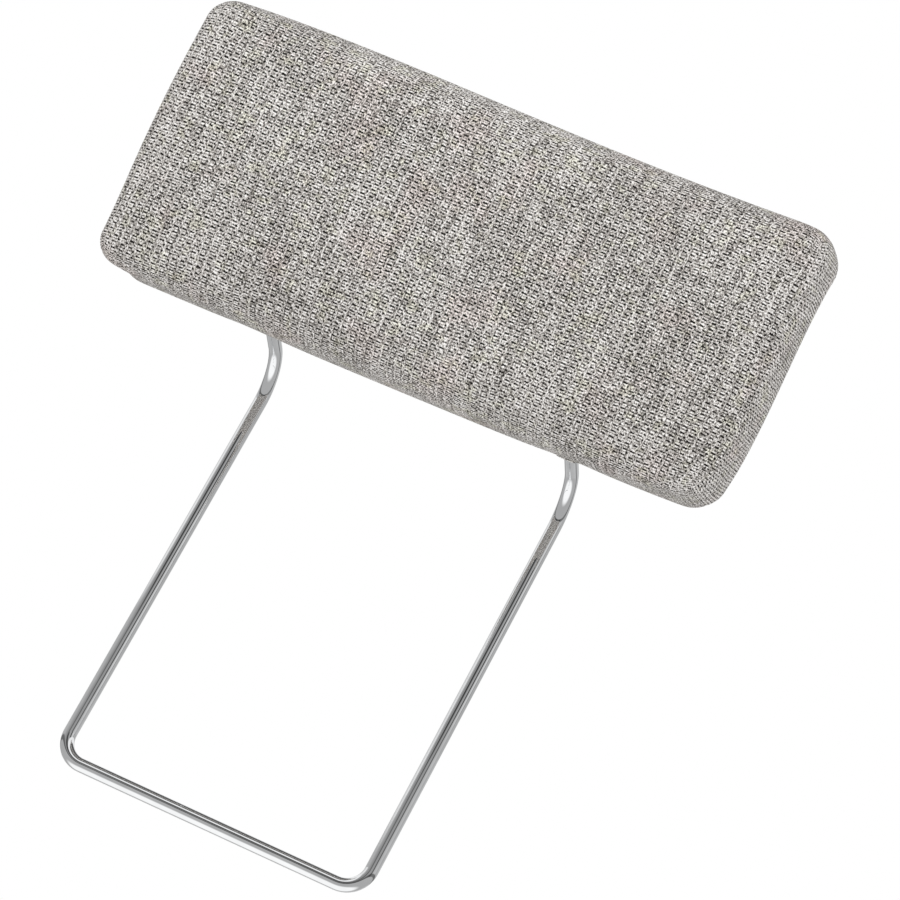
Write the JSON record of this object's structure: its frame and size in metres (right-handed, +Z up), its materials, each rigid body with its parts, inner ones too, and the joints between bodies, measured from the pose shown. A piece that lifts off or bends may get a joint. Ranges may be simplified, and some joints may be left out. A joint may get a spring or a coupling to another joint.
{
  "type": "sofa headrest",
  "caption": "Padded rectangular headrest cushion in grey woven fabric on a single bent chrome-plated rod, whose long loop slides down behind a sofa back.",
  "frame": {"origin": "middle of the rod's bottom bar, on the bar's axis", "axes": "+Z up along the rod's legs, +X along the bottom bar to the right seen from the front, +Y to the back; the cushion leans forward towards -Y"},
  "size_m": [0.58, 0.241, 0.6381],
  "materials": {
    "cover_fabric": "chunky mottled grey weave",
    "chrome_rod": "polished chrome plating",
    "foam": "open-cell upholstery foam",
    "wadding": "white fibre wadding",
    "plywood": "raw birch plywood",
    "plated_steel": "zinc plated",
    "zip_tape": "woven tape",
    "zip_nylon": "moulded nylon"
  },
  "bodies": {
    "headrest": {"back_board": "plywood", "clamp_screw_left_lower_inner": "plated_steel", "clamp_screw_left_lower_outer": "plated_steel", "clamp_screw_left_upper_inner": "plated_steel", "clamp_screw_left_upper_outer": "plated_steel", "clamp_screw_right_lower_inner": "plated_steel", "clamp_screw_right_lower_outer": "plated_steel", "clamp_screw_right_upper_inner": "plated_steel", "clamp_screw_right_upper_outer": "plated_steel", "cover_end_panel_left": "cover_fabric", "cover_end_panel_right": "cover_fabric", "cover_wrap_panel": "cover_fabric", "flanged_nut_left_lower_inner": "plated_steel", "flanged_nut_left_lower_outer": "plated_steel", "flanged_nut_left_upper_inner": "plated_steel", "flanged_nut_left_upper_outer": "plated_steel", "flanged_nut_right_lower_inner": "plated_steel", "flanged_nut_right_lower_outer": "plated_steel", "flanged_nut_right_upper_inner": "plated_steel", "flanged_nut_right_upper_outer": "plated_steel", "foam_core": "foam", "frame_rod": "chrome_rod", "rear_foam_pad": "foam", "rod_clamp_left_lower": "plated_steel", "rod_clamp_left_upper": "plated_steel", "rod_clamp_right_lower": "plated_steel", "rod_clamp_right_upper": "plated_steel", "wadding_wrap": "wadding", "zip_bottom_stop": "plated_steel", "zip_tape_lower": "zip_tape", "zip_tape_upper": "zip_tape", "zip_teeth_lower": "zip_nylon", "zip_teeth_upper": "zip_nylon", "zip_top_stop_lower": "plated_steel", "zip_top_stop_upper": "plated_steel"},
    "slider": {"zip_slider": "plated_steel"},
    "puller": {"zip_puller": "plated_steel"}
  },
  "joints": [
    {"name": "zip_slide", "type": "slide", "parent": "headrest", "child": "slider", "axis": [1, 0, 0], "range_m": [-0.407, 0]},
    {"name": "zip_pull", "type": "hinge", "parent": "slider", "child": "puller", "pos_m": [0.2037, -0.06453, 0.43832], "axis": [0, 0.309, -0.9511], "range_deg": [0, 170]}
  ]
}
